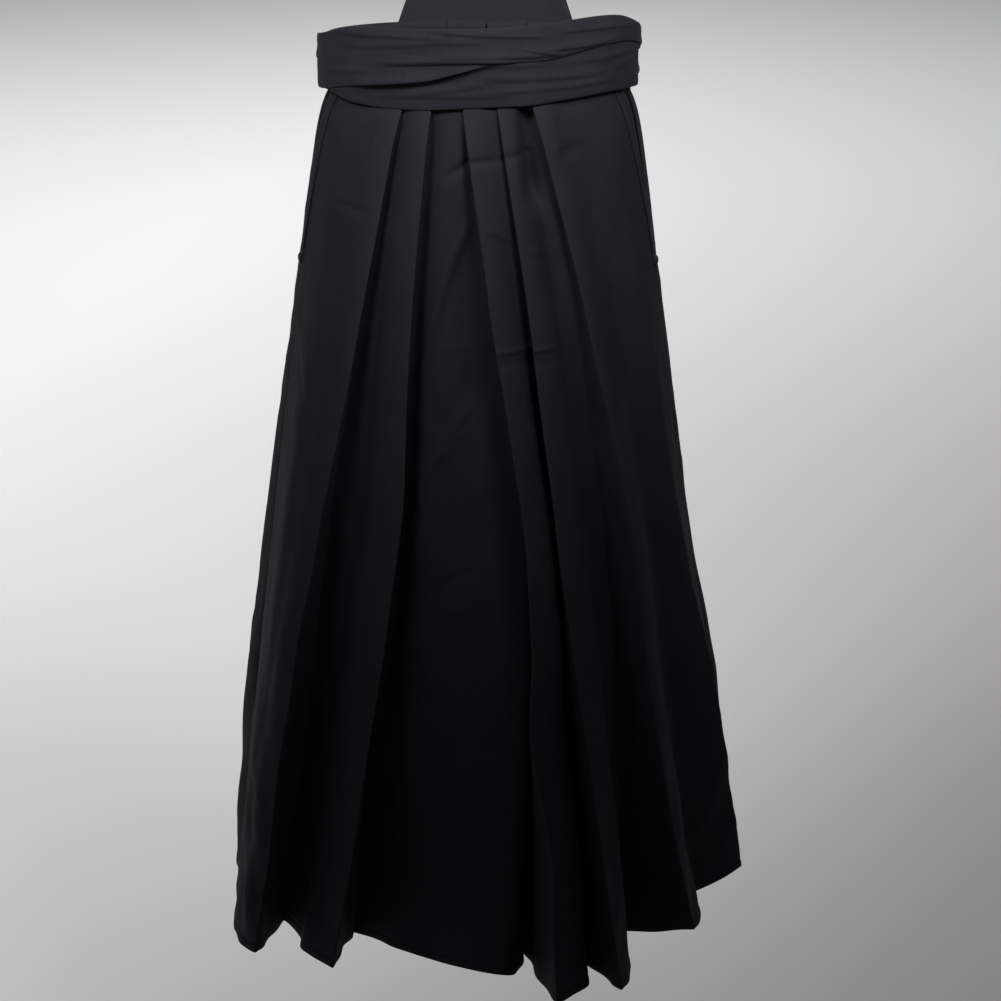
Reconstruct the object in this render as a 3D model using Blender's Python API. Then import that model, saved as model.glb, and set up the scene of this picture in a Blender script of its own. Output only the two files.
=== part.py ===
"""Hakama trousers: pleated, divided, open at both sides, as they hang when worn, hollow.

Metres, +Z up, +X towards the wearer's left, the front faces -Y. The origin is the middle of the
waist, where the wearer holds the garment up.

Every panel hangs from a ring of folds. A row of a table places one fold: where it leaves the
waist, where its lower end stands at the hem, and how far it bows sideways in between. At each
height the folds are joined into one zigzag section, and the sections are skinned and thickened.
"""
import math
from collections import namedtuple

import bmesh
import bpy
import numpy as np

# Cloth
CLOTH = 0.0012              # wall of the panels
LAYER = 0.0020              # between the middles of two layers of a pressed pleat
SEAM = 0.0003               # between two pieces that are sewn together
LAP = CLOTH + SEAM          # middle to middle of two pieces that lie on each other

# Waist
WAIST_HALF_WIDTH = 0.164
WAIST_HALF_DEPTH = 0.109
CLOTH_TOP = 0.016           # top of the panels, hidden by the ties
BAND_BOTTOM = -0.045        # height where the pleats come out from under the ties
SWELL_OUT = 0.009           # the cloth swells out by this just below the ties
SWELL_REACH = 0.022         # share of the length in which it does

# Length
LENGTH = 0.948              # of the cloth, from under the ties to the hem
BOW_HEIGHTS = (0.0, 0.27, 0.50, 0.75, 1.0)  # shares of the length: waist, hip, knee, shin, hem
SLIT_END = 0.20             # the side slits end at this share of the length
CROTCH = 0.50               # the legs part at this share of the length
LEVELS = (-0.065, 0.0, 0.012, 0.035, 0.07, 0.12, 0.16, 0.20, 0.26, 0.34, 0.42, 0.50,
          0.58, 0.66, 0.74, 0.82, 0.90, 0.96, 1.0)

WAIST_GRIP = 3              # power with which the waist's round shape is lost down the cloth
FACE_SWELL = 0.008          # how proud the face of a pleat stands at the hem

# The points inside a face between two folds. Row: share of the way, layer at the waist counted
# from the waist's outline, share of FACE_SWELL.
FacePoint = namedtuple("FacePoint", "share layer proud")
FACES = {
    ("ridge", "valley"): [FacePoint(0.37, 2, 0.8), FacePoint(0.50, 1, 0.3), FacePoint(0.63, 0, -0.8)],
    ("valley", "ridge"): [FacePoint(0.50, 1, 0.0)],
    ("edge", "ridge"): [FacePoint(0.50, 0.75, 0.0)],
    ("ridge", "any"): [FacePoint(0.34, 2, 0.8), FacePoint(0.67, 0, 0.2)],
    "plain": [FacePoint(0.34, 0, 0.4), FacePoint(0.67, 0, 0.4)],
}

# Where the two legs part
LEG_SPREAD_FRONT = 0.013    # each way from the middle, at the hem
LEG_SPREAD_BACK = 0.022
GUSSET_COLUMNS = 9
GUSSET_BELLY = 0.010        # the gussets bow out into the legs by this at the hem
GUSSET_APART = 0.0006       # each way from the panels' edges, so that the two stay clear

# One fold of a panel. kind is ridge or valley for a pressed fold, soft for a rounded one.
# waist_deg is measured round the waist from the centre front, + towards the wearer's left.
# hem_x and hem_y are its place at the hem; hip, knee and shin are how far it bows sideways.
# flare is the power with which it comes forward: 1 hangs straight. extra adds to its length.
Fold = namedtuple("Fold", "kind waist_deg hem_x hem_y hip knee shin flare extra")

CENTRE_FRONT = Fold("edge", 3.0, 0.067, -0.130, 0.017, 0.033, 0.014, 1.2, 0.0)
CENTRE_BACK = Fold("edge", 180.0, 0.004, 0.150, 0.006, 0.010, 0.006, 1.2, 0.0)
SIDE_RIGHT = Fold("edge", -80.0, -0.285, 0.030, -0.002, -0.004, -0.004, 1.2, -0.006)
SIDE_LEFT = Fold("edge", 80.0, 0.294, 0.070, -0.003, -0.004, 0.004, 1.2, -0.008)

# From the centre front round to the side. The wearer's right leg has two pleats.
FRONT_RIGHT_FOLDS = [
    Fold("soft", 1.5, 0.057, -0.245, 0.013, 0.030, 0.022, 2.0, 0.0),
    Fold("soft", -2.0, -0.030, -0.196, -0.018, -0.030, -0.020, 1.3, 0.0),
    Fold("valley", -20.0, -0.135, -0.115, 0.000, 0.000, 0.000, 1.2, 0.0),
    Fold("ridge", -14.3, -0.145, -0.235, 0.007, 0.019, 0.012, 1.2, 0.003),
    Fold("valley", -31.0, -0.217, -0.100, -0.003, -0.004, -0.002, 1.2, 0.0),
    Fold("ridge", -25.4, -0.232, -0.215, -0.004, -0.009, -0.010, 1.2, 0.002),
    Fold("soft", -52.0, -0.268, -0.145, -0.004, -0.006, -0.006, 1.2, -0.004),
]
# The wearer's left leg has three, the first of which laps over the centre front.
FRONT_LEFT_FOLDS = [
    Fold("ridge", -3.0, 0.106, -0.300, 0.008, 0.017, 0.003, 1.2, 0.020),
    Fold("valley", 15.0, 0.124, -0.175, 0.001, 0.010, 0.009, 1.2, 0.0),
    Fold("ridge", 9.5, 0.174, -0.270, 0.001, -0.002, -0.001, 1.2, 0.014),
    Fold("valley", 28.0, 0.166, -0.095, 0.012, 0.021, 0.015, 1.2, 0.0),
    Fold("ridge", 22.5, 0.250, -0.130, 0.014, 0.018, 0.001, 1.2, -0.004),
    Fold("soft", 42.0, 0.243, -0.010, 0.006, 0.010, 0.004, 1.2, -0.006),
    Fold("soft", 56.0, 0.303, 0.045, 0.003, 0.000, 0.007, 1.2, -0.010),
]
# From the centre back round to the side. Each leg has one pleat, which faces the centre.
BACK_RIGHT_FOLDS = [
    Fold("soft", -178.0, -0.022, 0.235, 0.004, 0.006, 0.006, 1.5, 0.0),
    Fold("valley", -164.5, -0.078, 0.160, 0.000, 0.000, 0.000, 1.2, 0.0),
    Fold("ridge", -171.0, -0.092, 0.262, 0.002, 0.002, 0.002, 1.2, 0.006),
    Fold("soft", -148.0, -0.145, 0.165, 0.000, 0.000, 0.000, 1.2, 0.0),
    Fold("soft", -133.0, -0.180, 0.238, 0.000, -0.002, -0.002, 1.1, 0.004),
    Fold("soft", -116.0, -0.235, 0.140, -0.002, -0.002, 0.000, 1.2, 0.0),
    Fold("soft", -98.0, -0.299, 0.098, -0.007, -0.012, -0.013, 1.1, 0.0),
]
BACK_LEFT_FOLDS = [
    Fold("soft", 178.0, 0.034, 0.230, 0.004, 0.006, 0.006, 1.5, 0.0),
    Fold("valley", 164.5, 0.088, 0.155, 0.000, 0.002, 0.002, 1.2, 0.0),
    Fold("ridge", 171.0, 0.102, 0.262, 0.002, 0.002, 0.002, 1.2, 0.006),
    Fold("soft", 148.0, 0.156, 0.172, 0.000, 0.000, 0.000, 1.2, 0.0),
    Fold("soft", 133.0, 0.213, 0.232, 0.000, 0.002, 0.002, 1.1, 0.004),
    Fold("soft", 116.0, 0.246, 0.138, 0.002, 0.000, 0.000, 1.2, 0.0),
    Fold("soft", 98.0, 0.294, 0.122, -0.002, -0.004, 0.002, 1.1, 0.0),
]

# Side slits, as degrees round the waist at the top
SLIT_FRONT_DEG = 73.0
SLIT_BACK_DEG = 81.0
FACING_WIDTH = 0.022        # of the folded facing along the slit's front edge, at its top
FACING_NARROWEST = 0.15     # share of that width at the slit's end
FACING_MOST_OF_STRIP = 0.7  # the strip beside the slit is always wider than this share
FACING_END = 0.19           # it stops at this share of the length, just above the slit's end
FACING_COLUMNS = 4          # columns of the panel's points under it

# Waistband and ties: their distance out from the waist's outline to the middle of the wall
BAND_OUT, BAND_WALL = 0.0061, 0.0020
TIE_WALL = 0.0016
UNDER_TIE_OUT = 0.0083
OVER_TIE_OUT = 0.0103
INNER_TIE_OUT = -0.0022     # the front tie runs inside the back panels
BAND_LOW, BAND_HIGH = -0.042, -0.006
BAND_TO_TIE_DEG = 0.3       # the tie is sewn on where the waistband ends
TIE_STEPS = 46
BAND_STEPS, INNER_TIE_STEPS = 30, 56
TIE_ROWS = 6
TIE_FOLD_DEPTH = 0.0008
TIE_END_DEG = 137.0         # the back ties are sewn to the board's sides
TIE_LEVEL_DEG = 122.0       # from here on they follow the sides' slant
TIE_TO_BOARD_DEG = 0.2

# Height of the ties' edges, by degrees round the waist. Row: deg, low, high.
Reach = namedtuple("Reach", "deg low high")
UNDER_TIE = [
    Reach(-TIE_END_DEG, -0.043, 0.000), Reach(-90, -0.044, 0.014), Reach(-40, -0.046, 0.014),
    Reach(0, -0.048, 0.018), Reach(45, -0.047, 0.024), Reach(90, -0.044, 0.026),
    Reach(TIE_END_DEG, -0.041, -0.001),
]
OVER_TIE = [
    Reach(-TIE_END_DEG, -0.042, -0.002), Reach(-90, -0.044, 0.024), Reach(-45, -0.035, 0.030),
    Reach(-10, -0.012, 0.035), Reach(30, -0.002, 0.037), Reach(90, 0.000, 0.037),
    Reach(TIE_END_DEG, -0.030, 0.004),
]

# Back board
BOARD_HALF_BOTTOM_DEG = 43.0
BOARD_HALF_TOP_DEG = 29.0
BOARD_LOW, BOARD_HIGH = -0.044, 0.058
BOARD_WALL = 0.0060
BOARD_OUT = 0.0084          # middle of the board, out from the waist's outline
BOARD_COLUMNS, BOARD_ROWS = 12, 4
BOARD_EDGE = 0.0012

# Stitched knots that stop the side slits
KNOT_RADIUS = 0.0042
KNOT_HEIGHT = 0.0070

FINISHES = {
    # name: colour, roughness
    "cloth": ((0.020, 0.019, 0.027), 0.82),
    "tie": ((0.024, 0.023, 0.032), 0.80),
    "board": ((0.021, 0.020, 0.028), 0.80),
    "thread": ((0.028, 0.027, 0.038), 0.70),
}


def clear_scene():
    for obj in list(bpy.data.objects):
        bpy.data.objects.remove(obj, do_unlink=True)


def finish(name):
    """The Principled material of that name, made once."""
    made = bpy.data.materials.get(name)
    if made is None:
        colour, roughness = FINISHES[name]
        made = bpy.data.materials.new(name)
        made.use_nodes = True
        shader = made.node_tree.nodes["Principled BSDF"]
        shader.inputs["Base Color"].default_value = (*colour, 1.0)
        shader.inputs["Roughness"].default_value = roughness
        shader.inputs["Metallic"].default_value = 0.0
    return made


def new_object(name, mesh, finish_name):
    obj = bpy.data.objects.new(name, mesh)
    mesh.materials.append(finish(finish_name))
    bpy.context.scene.collection.objects.link(obj)
    return obj


def smooth_through(at, stations, values):
    """A smooth curve through the stations, read at each place in at."""
    stations, values = np.asarray(stations, float), np.asarray(values, float)
    slopes = np.gradient(values, stations)
    i = np.clip(np.searchsorted(stations, at) - 1, 0, len(stations) - 2)
    span = stations[i + 1] - stations[i]
    s = np.clip((at - stations[i]) / span, 0.0, 1.0)
    return ((2 * s**3 - 3 * s**2 + 1) * values[i] + (s**3 - 2 * s**2 + s) * span * slopes[i]
            + (3 * s**2 - 2 * s**3) * values[i + 1] + (s**3 - s**2) * span * slopes[i + 1])


def waist_point(deg, out=0.0):
    """(x, y) on the waist's outline at that many degrees, moved out, and the way out there."""
    turn = math.radians(deg)
    place = np.array([WAIST_HALF_WIDTH * math.sin(turn), -WAIST_HALF_DEPTH * math.cos(turn)])
    way = np.array([math.sin(turn) / WAIST_HALF_WIDTH, -math.cos(turn) / WAIST_HALF_DEPTH])
    way /= np.linalg.norm(way)
    return place + way * out, way


def waist_layer(fold):
    """How far out from the waist's outline the middle of a fold lies, where it is pressed."""
    return {"ridge": 1.5, "valley": 0.5}.get(fold.kind, 0.0) * LAYER


def track(fold, levels):
    """The line of a fold down the cloth: one (x, y, z) for each level."""
    t = np.asarray(levels, float)
    down = np.clip(t, 0.0, None)
    waist, way = waist_point(fold.waist_deg, waist_layer(fold))
    swell = SWELL_OUT * (1.0 - np.exp(-down / SWELL_REACH)) * (1.0 - down)
    bow = smooth_through(down, BOW_HEIGHTS, (0.0, fold.hip, fold.knee, fold.shin, 0.0))
    across, forward = fold.hem_x - waist[0], fold.hem_y - waist[1]
    drop = math.sqrt((LENGTH + fold.extra) ** 2 - across**2 - forward**2)
    x = waist[0] + way[0] * swell + across * down + bow
    y = waist[1] + way[1] * swell + forward * down**fold.flare
    z = BAND_BOTTOM - drop * down - np.clip(t, None, 0.0) / LEVELS[0] * (BAND_BOTTOM - CLOTH_TOP)
    return np.stack([x, y, z], axis=1)


def slit_edge(seam, waist_deg, levels):
    """A panel's side edge: apart from the seam at the waist, and on it from the slit's end down."""
    seam_line = track(seam, levels)
    here, _ = waist_point(waist_deg)
    there, _ = waist_point(seam.waist_deg)
    open_share = np.clip(1.0 - np.clip(levels, 0.0, None) / SLIT_END, 0.0, 1.0)
    seam_line[:, :2] += open_share[:, None] * (here - there)
    seam_line[:, 1] += math.copysign(SEAM, abs(waist_deg) - abs(seam.waist_deg))
    return seam_line


def inner_edge(seam, side, spread, levels):
    """A panel's edge at the centre seam. Below the crotch the two legs' edges move apart."""
    edge = track(seam, levels)
    parted = np.clip((np.asarray(levels) - CROTCH) / (1.0 - CROTCH), 0.0, 1.0)
    edge[:, 0] += side * (LAP / 2 + spread * parted)
    return edge


def unit(v):
    return v / max(np.linalg.norm(v), 1e-12)


def crease_pair(before, here, after):
    """The two points of a pressed fold, one layer apart, so that the cloth turns round them."""
    apart = unit(unit(before[:2] - here[:2]) - unit(after[:2] - here[:2])) * LAYER / 2
    first, second = here.copy(), here.copy()
    first[:2] += apart
    second[:2] -= apart
    return [first, second]


def off_chord(fold_pair, share, layer, t):
    """How far a point between two folds lies off the straight line between them, because the
    waist is round and its layers lie on each other. This is gone towards the hem."""
    degs = [fold.waist_deg for fold in fold_pair]
    first, second = (waist_point(fold.waist_deg, waist_layer(fold))[0] for fold in fold_pair)
    curved, _ = waist_point(degs[0] + (degs[1] - degs[0]) * share, layer * LAYER)
    straight = first + (second - first) * share
    return (curved - straight) * (1.0 - max(t, 0.0)) ** WAIST_GRIP


def face_points(start, end, fold_pair, side, t):
    """The points inside one face, which stands slightly proud of a straight line further down."""
    along = unit(end[:2] - start[:2])
    away = side * np.array([along[1], -along[0]]) * FACE_SWELL * max(t, 0.0)
    kinds = (fold_pair[0].kind, fold_pair[1].kind)
    points = []
    for row in FACES.get(kinds, FACES.get((kinds[0], "any"), FACES["plain"])):
        point = start + (end - start) * row.share
        point[:2] += off_chord(fold_pair, row.share, row.layer, t) + away * row.proud
        points.append(point)
    return points


def slit_points(start, end, fold_pair, t):
    """The points of the strip beside a slit. The last three lie under the slit's facing."""
    narrowed = max(min(abs(1.0 - max(t, 0.0) / SLIT_END), 1.0), FACING_NARROWEST)
    facing = min(FACING_WIDTH * narrowed / np.linalg.norm(end - start), FACING_MOST_OF_STRIP)
    points = []
    for share in (0.5 - facing / 2, 1.0 - facing, 1.0 - facing * 2 / 3, 1.0 - facing / 3):
        point = start + (end - start) * share
        point[:2] += off_chord(fold_pair, share, 0.0, t)
        points.append(point)
    return points


def section(anchors, folds, side, t):
    """One level of a panel, as a list of points from its inner edge to its side edge."""
    last = len(folds) - 1
    faces = []
    for i in range(last):
        pair = (folds[i], folds[i + 1])
        if pair[1].kind == "slit":
            faces.append(slit_points(anchors[i], anchors[i + 1], pair, t))
        else:
            faces.append(face_points(anchors[i], anchors[i + 1], pair, side, t))
    points = [anchors[0]]
    for i in range(1, last + 1):
        points += faces[i - 1]
        if folds[i].kind in ("ridge", "valley"):
            points += crease_pair(faces[i - 1][-1], anchors[i], faces[i][0])
        else:
            points.append(anchors[i])
    return np.array(points)


def panel_grid(folds, inner, outer, side, levels):
    """All levels of a panel: an array of levels by points by 3."""
    tracks = [inner] + [track(fold, levels) for fold in folds[1:-1]] + [outer]
    rows = [section([line[j] for line in tracks], folds, side, t) for j, t in enumerate(levels)]
    return np.array(rows)


def skin(name, grid, wall, finish_name, flip=False):
    """A closed wall of cloth: the grid skinned with triangles and thickened both ways."""
    rows, columns = grid.shape[:2]
    mesh = bpy.data.meshes.new(name)
    bm = bmesh.new()
    verts = [bm.verts.new(p) for p in grid.reshape(-1, 3)]
    for j in range(rows - 1):
        for i in range(columns - 1):
            a, b = verts[j * columns + i], verts[j * columns + i + 1]
            c, d = verts[(j + 1) * columns + i + 1], verts[(j + 1) * columns + i]
            for corners in ((a, b, c), (a, c, d)):
                bm.faces.new(corners[::-1] if flip else corners)
    bm.to_mesh(mesh)
    bm.free()
    mesh.shade_smooth()
    mesh.set_sharp_from_angle(angle=math.radians(40))
    obj = new_object(name, mesh, finish_name)
    thick = obj.modifiers.new("wall", "SOLIDIFY")
    thick.thickness = wall
    thick.offset = 0.0
    return obj


def front_lap(levels):
    """How far forward the left panel's inner edge lies, on the right panel's edge."""
    return np.where(np.asarray(levels) <= CROTCH, LAP, 0.0)


def panel_grids(levels):
    """The four pleated panels, by name, each an array of levels by points by 3."""
    levels = np.asarray(levels, float)
    front = {side: inner_edge(CENTRE_FRONT, side, LEG_SPREAD_FRONT, levels) for side in (-1, 1)}
    back = {side: inner_edge(CENTRE_BACK, side, LEG_SPREAD_BACK, levels) for side in (-1, 1)}
    front[1][:, 1] -= front_lap(levels)
    # name: folds, inner edge, seam at the side, slit's place, side of the path that faces out
    cut = {
        "front_right": (FRONT_RIGHT_FOLDS, CENTRE_FRONT, front[-1], SIDE_RIGHT, -SLIT_FRONT_DEG, -1),
        "front_left": (FRONT_LEFT_FOLDS, CENTRE_FRONT, front[1], SIDE_LEFT, SLIT_FRONT_DEG, 1),
        "back_right": (BACK_RIGHT_FOLDS, CENTRE_BACK, back[-1], SIDE_RIGHT, -SLIT_BACK_DEG, 1),
        "back_left": (BACK_LEFT_FOLDS, CENTRE_BACK, back[1], SIDE_LEFT, SLIT_BACK_DEG, -1),
    }
    grids = {}
    for name, (folds, centre, inner, seam, slit_deg, side) in cut.items():
        if centre is CENTRE_BACK:
            centre = centre._replace(waist_deg=math.copysign(centre.waist_deg, slit_deg))
            last = seam._replace(waist_deg=slit_deg)
        else:
            last = seam._replace(waist_deg=slit_deg, kind="slit")
        path = [centre] + folds + [last]
        grids[name] = panel_grid(path, inner, slit_edge(seam, slit_deg, levels), side, levels)
    return grids


def build_panels():
    grids = panel_grids(LEVELS)
    for name, grid in grids.items():
        skin(name + "_panel", grid, CLOTH, "cloth", flip=name in ("front_right", "back_left"))
    return grids


def build_gusset(name, front, back, levels, side):
    """The inside of a leg, from the crotch to the hem, between the two panels' inner edges."""
    gap = 2 * SEAM
    low = [j for j, t in enumerate(levels) if t >= CROTCH]
    grid = []
    for j in low:
        start, end = front[j, 0].copy(), back[j, 0].copy()
        start[1] += gap
        end[1] -= gap
        row = []
        for i in range(GUSSET_COLUMNS):
            f = i / (GUSSET_COLUMNS - 1)
            point = start + (end - start) * f
            fall = (levels[j] - CROTCH) / (1.0 - CROTCH)
            point[0] += side * (GUSSET_APART + GUSSET_BELLY * math.sin(math.pi * f) * fall)
            row.append(point)
        grid.append(row)
    skin(name, np.array(grid), CLOTH, "cloth", flip=side > 0)


def build_slit_facing(name, grid, side):
    """The strip folded back along the front edge of a side slit: the panel's points, moved out."""
    rows = [j for j, t in enumerate(LEVELS) if 0.0 <= t < FACING_END]
    strip = grid[:, -FACING_COLUMNS:]
    along = strip[:, 1:] - strip[:, :-1]
    along = np.concatenate([along, along[:, -1:]], axis=1)
    down = np.gradient(strip, axis=0)
    away = np.cross(along, down)
    away /= np.linalg.norm(away, axis=2, keepdims=True)
    away *= np.sign(away[:, :, :1]) * side
    skin(name, (strip + away * LAP)[rows], CLOTH, "cloth", flip=side < 0)


def build_knot(name, seam, side):
    """The thread knot that stops a side slit, just outside the seam."""
    place = track(seam, [SLIT_END])[0]
    bm = bmesh.new()
    bmesh.ops.create_icosphere(bm, subdivisions=2, radius=KNOT_RADIUS)
    bmesh.ops.scale(bm, vec=(1.0, 1.0, KNOT_HEIGHT / KNOT_RADIUS), verts=bm.verts)
    mesh = bpy.data.meshes.new(name)
    bm.to_mesh(mesh)
    bm.free()
    mesh.shade_smooth()
    knot = new_object(name, mesh, "thread")
    knot.location = (place[0] + side * (KNOT_RADIUS + CLOTH / 2 + SEAM), place[1], place[2])


def reach_at(reaches, deg):
    stations = [r.deg for r in reaches]
    low = float(smooth_through(np.array([deg]), stations, [r.low for r in reaches])[0])
    high = float(smooth_through(np.array([deg]), stations, [r.high for r in reaches])[0])
    return low, high


def beside_board(deg, z):
    """Where a back tie's point lies round the waist: its ends follow the board's slanted sides."""
    share = (BOARD_HIGH - z) / (BOARD_HIGH - BOARD_LOW)
    half = BOARD_HALF_TOP_DEG + (BOARD_HALF_BOTTOM_DEG - BOARD_HALF_TOP_DEG) * share
    near = max(0.0, (abs(deg) - TIE_LEVEL_DEG) / (TIE_END_DEG - TIE_LEVEL_DEG))
    return deg + math.copysign((180.0 - half - TIE_TO_BOARD_DEG - TIE_END_DEG) * near, deg)


def tie_grid(reaches, out, folds):
    """A wide tie wound round the waist, with soft lengthwise folds. Outermost at mid height."""
    grid = []
    for row in range(TIE_ROWS + 1):
        h = row / TIE_ROWS
        line = []
        for step in range(TIE_STEPS + 1):
            deg = reaches[0].deg + (reaches[-1].deg - reaches[0].deg) * step / TIE_STEPS
            low, high = reach_at(reaches, deg)
            ripple = TIE_FOLD_DEPTH * max(0.0, math.sin(math.pi * folds * h + math.radians(deg)))
            z = high + (low - high) * h
            place, _ = waist_point(beside_board(deg, z), out + ripple)
            line.append((*place, z))
        grid.append(line)
    return np.array(grid)


def build_band(name, deg_from, deg_to, out_at, low, high, wall, steps):
    """A flat band round part of the waist. out_at gives its distance out at each angle."""
    rows = []
    for z in (high, (low + high) / 2, low):
        line = []
        for step in range(steps + 1):
            deg = deg_from + (deg_to - deg_from) * step / steps
            line.append((*waist_point(deg, out_at(deg))[0], z))
        rows.append(line)
    skin(name, np.array(rows), wall, "tie")


def inner_tie_out(deg):
    """The front tie passes through the side slits and on inside the back panels."""
    start, end = SLIT_FRONT_DEG + 1.0, SLIT_BACK_DEG - 2.0
    gone = np.clip((min(deg, 360.0 - deg) - start) / (end - start), 0.0, 1.0)
    gone = gone * gone * (3 - 2 * gone)
    return BAND_OUT + (INNER_TIE_OUT - BAND_OUT) * gone


def build_ties():
    skin("tie_under_wrap", tie_grid(UNDER_TIE, UNDER_TIE_OUT, 2), TIE_WALL, "tie")
    over = tie_grid(OVER_TIE, OVER_TIE_OUT + TIE_FOLD_DEPTH, 3)
    skin("tie_over_wrap", over, TIE_WALL, "tie")
    build_band("front_waistband", -SLIT_FRONT_DEG, SLIT_FRONT_DEG, lambda deg: BAND_OUT,
               BAND_LOW, BAND_HIGH, BAND_WALL, BAND_STEPS)
    build_band("front_tie", SLIT_FRONT_DEG + BAND_TO_TIE_DEG,
               360.0 - SLIT_FRONT_DEG - BAND_TO_TIE_DEG, inner_tie_out, BAND_LOW, BAND_HIGH,
               TIE_WALL, INNER_TIE_STEPS)


def build_board():
    """The stiff back board: a trapezium that follows the waist's curve, its edges rounded."""
    grid = []
    for row in range(BOARD_ROWS + 1):
        h = row / BOARD_ROWS
        half = BOARD_HALF_TOP_DEG + (BOARD_HALF_BOTTOM_DEG - BOARD_HALF_TOP_DEG) * h
        line = []
        for column in range(BOARD_COLUMNS + 1):
            deg = 180.0 - half + 2 * half * column / BOARD_COLUMNS
            place, _ = waist_point(deg, BOARD_OUT)
            line.append((*place, BOARD_HIGH + (BOARD_LOW - BOARD_HIGH) * h))
        grid.append(line)
    board = skin("back_board", np.array(grid), BOARD_WALL, "board")
    edge = board.modifiers.new("edge", "BEVEL")
    edge.width = BOARD_EDGE
    edge.segments = 2
    edge.limit_method = "ANGLE"
    edge.angle_limit = math.radians(50)


def main():
    clear_scene()
    grids = build_panels()
    for side, leg in ((-1, "right"), (1, "left")):
        build_gusset(f"gusset_{leg}", grids[f"front_{leg}"], grids[f"back_{leg}"], LEVELS, side)
    build_slit_facing("slit_facing_right", grids["front_right"], -1)
    build_slit_facing("slit_facing_left", grids["front_left"], 1)
    build_knot("slit_knot_right", SIDE_RIGHT, -1)
    build_knot("slit_knot_left", SIDE_LEFT, 1)
    build_ties()
    build_board()


main()
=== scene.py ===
import math
from collections import namedtuple

import bpy
import numpy as np
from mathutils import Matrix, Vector


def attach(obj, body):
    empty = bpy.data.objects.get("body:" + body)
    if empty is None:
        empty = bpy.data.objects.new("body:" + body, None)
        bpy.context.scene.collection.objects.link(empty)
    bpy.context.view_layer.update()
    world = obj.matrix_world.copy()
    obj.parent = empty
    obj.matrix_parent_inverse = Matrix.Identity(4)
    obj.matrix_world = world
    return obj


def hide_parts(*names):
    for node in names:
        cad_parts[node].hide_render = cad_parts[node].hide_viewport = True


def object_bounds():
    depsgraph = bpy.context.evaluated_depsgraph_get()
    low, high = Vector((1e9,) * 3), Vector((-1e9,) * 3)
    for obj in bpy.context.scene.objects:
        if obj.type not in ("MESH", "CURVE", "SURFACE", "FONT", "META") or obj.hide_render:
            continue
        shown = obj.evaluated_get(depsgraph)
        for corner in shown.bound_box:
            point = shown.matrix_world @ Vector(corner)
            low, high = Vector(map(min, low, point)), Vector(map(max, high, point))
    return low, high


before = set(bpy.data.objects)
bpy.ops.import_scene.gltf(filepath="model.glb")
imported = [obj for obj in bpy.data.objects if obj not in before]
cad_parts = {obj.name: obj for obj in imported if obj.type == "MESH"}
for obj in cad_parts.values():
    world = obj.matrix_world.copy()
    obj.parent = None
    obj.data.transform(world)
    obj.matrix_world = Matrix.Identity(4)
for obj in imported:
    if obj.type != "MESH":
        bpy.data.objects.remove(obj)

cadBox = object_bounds()

# Hakama trousers as they hang when worn. Metres, +Z up, +X towards the wearer's left, the front
# faces -Y, and the origin is the middle of the waist.

# The camera stands a little to the wearer's left and looks down at the front
cameraView = {
    "distance": 3.5,
    "turnDeg": 4.5,
    "height": 0.45,
    "aimX": 0.0235,
    "aimZ": -0.51,
    "lens": 115.7,
}


def makeCamera(view):
    turn = math.radians(view["turnDeg"])
    data = bpy.data.cameras.new("camera")
    data.lens = view["lens"]
    data.sensor_width = 36.0
    camera = bpy.data.objects.new("camera", data)
    bpy.context.scene.collection.objects.link(camera)
    camera.location = (view["distance"] * math.sin(turn), -view["distance"] * math.cos(turn), view["height"])
    aim = Vector((view["aimX"], 0.0, view["aimZ"])) - camera.location
    camera.rotation_euler = aim.to_track_quat("-Z", "Y").to_euler()
    bpy.context.scene.camera = camera


makeCamera(cameraView)
print("camera made")


# Small tools

def smoothStep(x):
    # 3x^2 - 2x^3 between 0 and 1
    x = np.clip(x, 0.0, 1.0)
    return x * x * (3.0 - 2.0 * x)


def smoothThrough(at, stations, values):
    # a cubic through the stations, whose slopes are those of the neighbouring stations
    stations, values = np.asarray(stations, float), np.asarray(values, float)
    slopes = np.gradient(values, stations)
    i = np.clip(np.searchsorted(stations, at) - 1, 0, len(stations) - 2)
    span = stations[i + 1] - stations[i]
    s = np.clip((at - stations[i]) / span, 0.0, 1.0)
    return ((2 * s**3 - 3 * s**2 + 1) * values[i] + (s**3 - 2 * s**2 + s) * span * slopes[i]
            + (3 * s**2 - 2 * s**3) * values[i + 1] + (s**3 - s**2) * span * slopes[i + 1])


def softWaves(u, v, size, seed, stretch=1.0):
    # nine sine waves in scattered directions, half to twice that size, added up over a plane that
    # is itself bent by two slow waves, so that no pattern repeats; about -1 to 1
    dice = np.random.default_rng(seed)
    v = v / stretch
    bend = dice.uniform(0.0, 2.0 * math.pi, 2)
    bentU = u + 0.30 * size * np.sin(v * 2.3 / size + bend[0])
    bentV = v + 0.30 * size * np.sin(u * 1.9 / size + bend[1])
    total = 0.0
    for i in range(9):
        turn = 2.4 * i + dice.uniform(-0.3, 0.3)
        wave = size * 2.0 ** dice.uniform(-1.0, 1.0)
        phase = dice.uniform(0.0, 2.0 * math.pi)
        along = bentU * math.cos(turn) + bentV * math.sin(turn)
        total = total + np.sin(along * 2 * math.pi / wave + phase)
    return total / 4.2


creaseRow = namedtuple("creaseRow", "x0 z0 x1 z1 above below height bend")


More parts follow.
